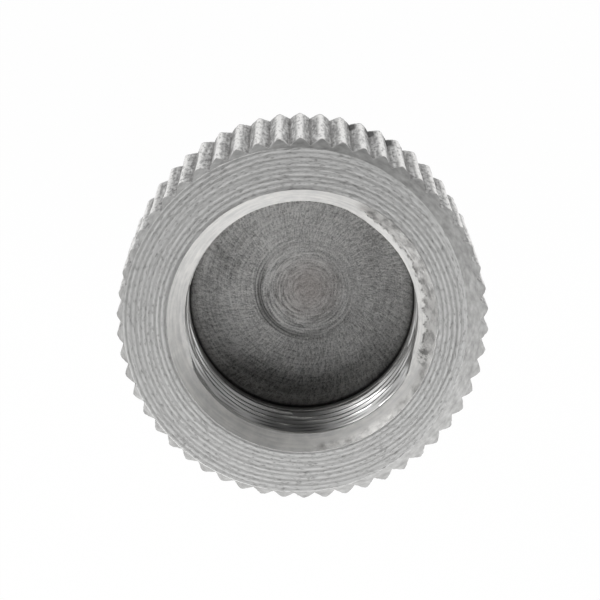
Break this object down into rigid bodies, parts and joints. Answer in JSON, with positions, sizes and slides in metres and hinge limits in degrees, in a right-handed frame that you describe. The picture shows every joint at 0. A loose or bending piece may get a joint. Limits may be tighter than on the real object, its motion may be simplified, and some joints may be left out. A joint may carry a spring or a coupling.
{
  "type": "thread adapter",
  "caption": "Turned aluminium thread adapter with a straight-knurled round rim, a countersunk blind threaded socket in the front face and a coaxial threaded tripod stud behind.",
  "frame": {"origin": "centre of the stud's flat end, on which the adapter stands", "axes": "+Z along the axis of turning, out of the socket mouth; X and Y are equal ways across it"},
  "size_m": [0.0238, 0.0238, 0.0195],
  "materials": {
    "turned_aluminium": "bare, as turned and knurled"
  },
  "bodies": {
    "root": {"adapter_body": "turned_aluminium"}
  },
  "joints": []
}
